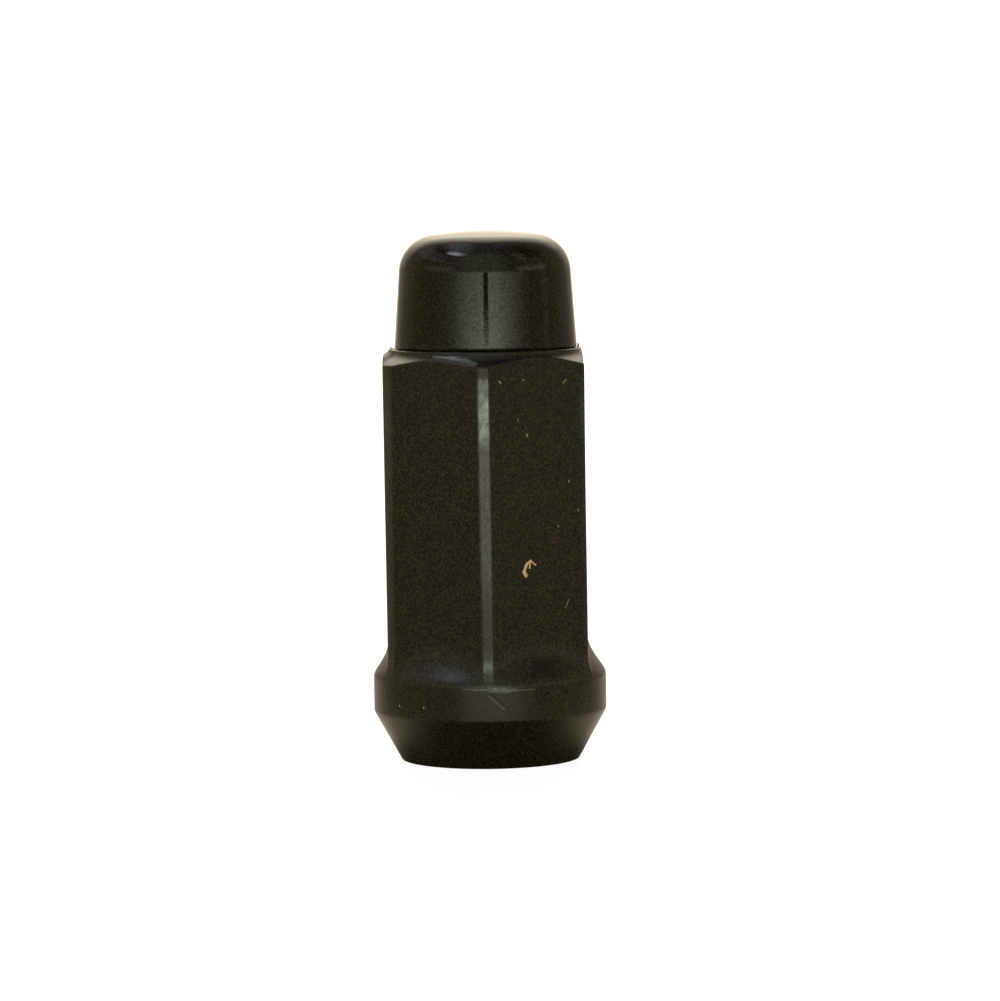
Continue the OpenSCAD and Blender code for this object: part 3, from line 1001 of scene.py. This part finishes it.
def studio_world():
    """World that the camera sees as white, and that lights the nut like a room: a white backdrop behind it, a
    wide low window in front with a dark upright post, and dim walls between them."""
    world = bpy.data.worlds.new("Studio")
    world.use_nodes = True
    tree = world.node_tree
    tree.nodes.clear()
    n = partial(add_node, tree)
    path = n("ShaderNodeLightPath").outputs
    ray = n("ShaderNodeSeparateXYZ", n("ShaderNodeTexCoord").outputs["Generated"]).outputs
    measures = {**bearings(tree, ray), "elevation": n("ARCSINE", ray["Z"])}
    total = tuple(ROOM_LEVEL * c for c in linear(ROOM_TINT))
    for radiance, tint, slopes in ROOM:
        amount = sloped(tree, measures, slopes, radiance, "SMOOTHSTEP")
        light = n(VECTOR_MATH, sockets={"Vector": linear(tint), "Scale": amount}, operation="SCALE")
        total = n(VECTOR_MATH, total, light, operation="ADD")
    post = sloped(tree, measures, POST, 1.0, "LINEAR")
    room = n(MIX, sockets={"Factor": post, "A": total, "B": (*linear(POST_COLOUR), 1)}, data_type="RGBA")
    seen = n("MAXIMUM", path["Is Camera Ray"], path["Is Transmission Ray"])
    shown = n(MIX, sockets={"Factor": seen, "A": room, "B": WHITE}, data_type="RGBA")
    n("ShaderNodeOutputWorld", n("ShaderNodeBackground", shown, 1.0))
    return world


class LUGNUT_OT_forge_body(bpy.types.Operator):
    """Make the forged and tapped body"""

    bl_idname = "lugnut.forge_body"
    bl_label = "Forge Body"

    def execute(self, context):
        sizes = context.scene.lugnut_body
        colours = context.scene.lugnut_colours
        coat = forged_coat(colours, sizes)
        thread = cut_thread(colours)
        piece = run_tree(nut_body_tree(sizes, coat, thread), sizes, "forged_body")
        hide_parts("nut_body")
        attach(piece, "root")
        return {"FINISHED"}


class LUGNUT_OT_draw_cap(bpy.types.Operator):
    """Make the drawn cap"""

    bl_idname = "lugnut.draw_cap"
    bl_label = "Draw Cap"

    def execute(self, context):
        sizes = context.scene.lugnut_cap
        piece = lathe("drawn_cap", end_cap_profile(sizes), sizes.segments)
        piece.data.materials.append(drawn_coat(context.scene.lugnut_colours))
        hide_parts("end_cap")
        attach(piece, "root")
        return {"FINISHED"}


def lamp(name, spot, width, height, along, radiance, tint):
    """Adds a rectangular lamp that looks at the nut, with its height along a direction. Its radiance is 1
    where it would look white."""
    light = bpy.data.lights.new(name, "AREA")
    light.shape = "RECTANGLE"
    light.size = width
    light.size_y = height
    light.energy = radiance * math.pi * width * height
    light.color = linear(tint)
    holder = bpy.data.objects.new(name, light)
    back = (Vector(spot) - Vector(NUT_MIDDLE)).normalized()
    right = Vector(along).cross(back).normalized()
    turn = Matrix((right, back.cross(right), back)).transposed()
    holder.matrix_world = Matrix.Translation(spot) @ turn.to_4x4()
    holder.visible_camera = False
    holder.visible_glossy = False
    bpy.context.scene.collection.objects.link(holder)


class LUGNUT_OT_set_studio(bpy.types.Operator):
    """Set the floor, the lamps and the camera round the nut"""

    bl_idname = "lugnut.set_studio"
    bl_label = "Set Studio"

    def execute(self, context):
        settings = context.scene.lugnut_studio
        scene = context.scene
        scene.view_settings.view_transform = "Standard"

        mesh = bpy.data.meshes.new("floor")
        bm = bmesh.new()
        bmesh.ops.create_grid(bm, x_segments=1, y_segments=1, size=FLOOR_REACH)
        bm.to_mesh(mesh)
        bm.free()
        floor = bpy.data.objects.new("floor", mesh)
        floor.location.z = -FLOOR_GAP
        mesh.materials.append(smooth_floor(settings.floor))
        scene.collection.objects.link(floor)

        scene.world = studio_world()
        for name, values in LAMPS.items():
            lamp(name, *values)

        camera = bpy.data.cameras.new("camera")
        camera.lens = settings.lens
        camera.sensor_width = SENSOR_WIDTH
        camera.clip_start = CLIP_START
        holder = bpy.data.objects.new("camera", camera)
        place = Matrix.Translation((0, -settings.camera_distance, settings.camera_height))
        yaw = Matrix.Rotation(-settings.camera_yaw, 4, "Z")
        pitch = Matrix.Rotation(math.pi / 2 - settings.camera_pitch, 4, "X")
        roll = Matrix.Rotation(-settings.camera_roll, 4, "Z")
        holder.matrix_world = place @ yaw @ pitch @ roll
        scene.collection.objects.link(holder)
        scene.camera = holder
        return {"FINISHED"}


class LUGNUT_PT_panel(bpy.types.Panel):
    """Lists the nut's pieces and its studio."""

    bl_idname = "LUGNUT_PT_panel"
    bl_label = "Lug Nut"
    bl_space_type = "VIEW_3D"
    bl_region_type = "UI"
    bl_category = "Lug Nut"

    def draw(self, context):
        for operator in OPERATORS:
            self.layout.operator(operator.bl_idname)
        for name in GROUPS:
            settings = getattr(context.scene, name)
            box = self.layout.box()
            for key in type(settings).__annotations__:
                box.prop(settings, key)


OPERATORS = (LUGNUT_OT_forge_body, LUGNUT_OT_draw_cap, LUGNUT_OT_set_studio)
GROUPS = {
    "lugnut_body": NutBodySizes,
    "lugnut_cap": EndCapSizes,
    "lugnut_colours": CoatColours,
    "lugnut_studio": StudioSettings,
}


def register():
    for cls in (*GROUPS.values(), *OPERATORS, LUGNUT_PT_panel):
        bpy.utils.register_class(cls)
    for name, group in GROUPS.items():
        setattr(bpy.types.Scene, name, PointerProperty(type=group))


def unregister():
    for name in GROUPS:
        delattr(bpy.types.Scene, name)
    for cls in reversed((*GROUPS.values(), *OPERATORS, LUGNUT_PT_panel)):
        bpy.utils.unregister_class(cls)


def main():
    register()
    bpy.ops.lugnut.forge_body()
    bpy.ops.lugnut.draw_cap()
    bpy.ops.lugnut.set_studio()


if __name__ == "__main__":
    main()
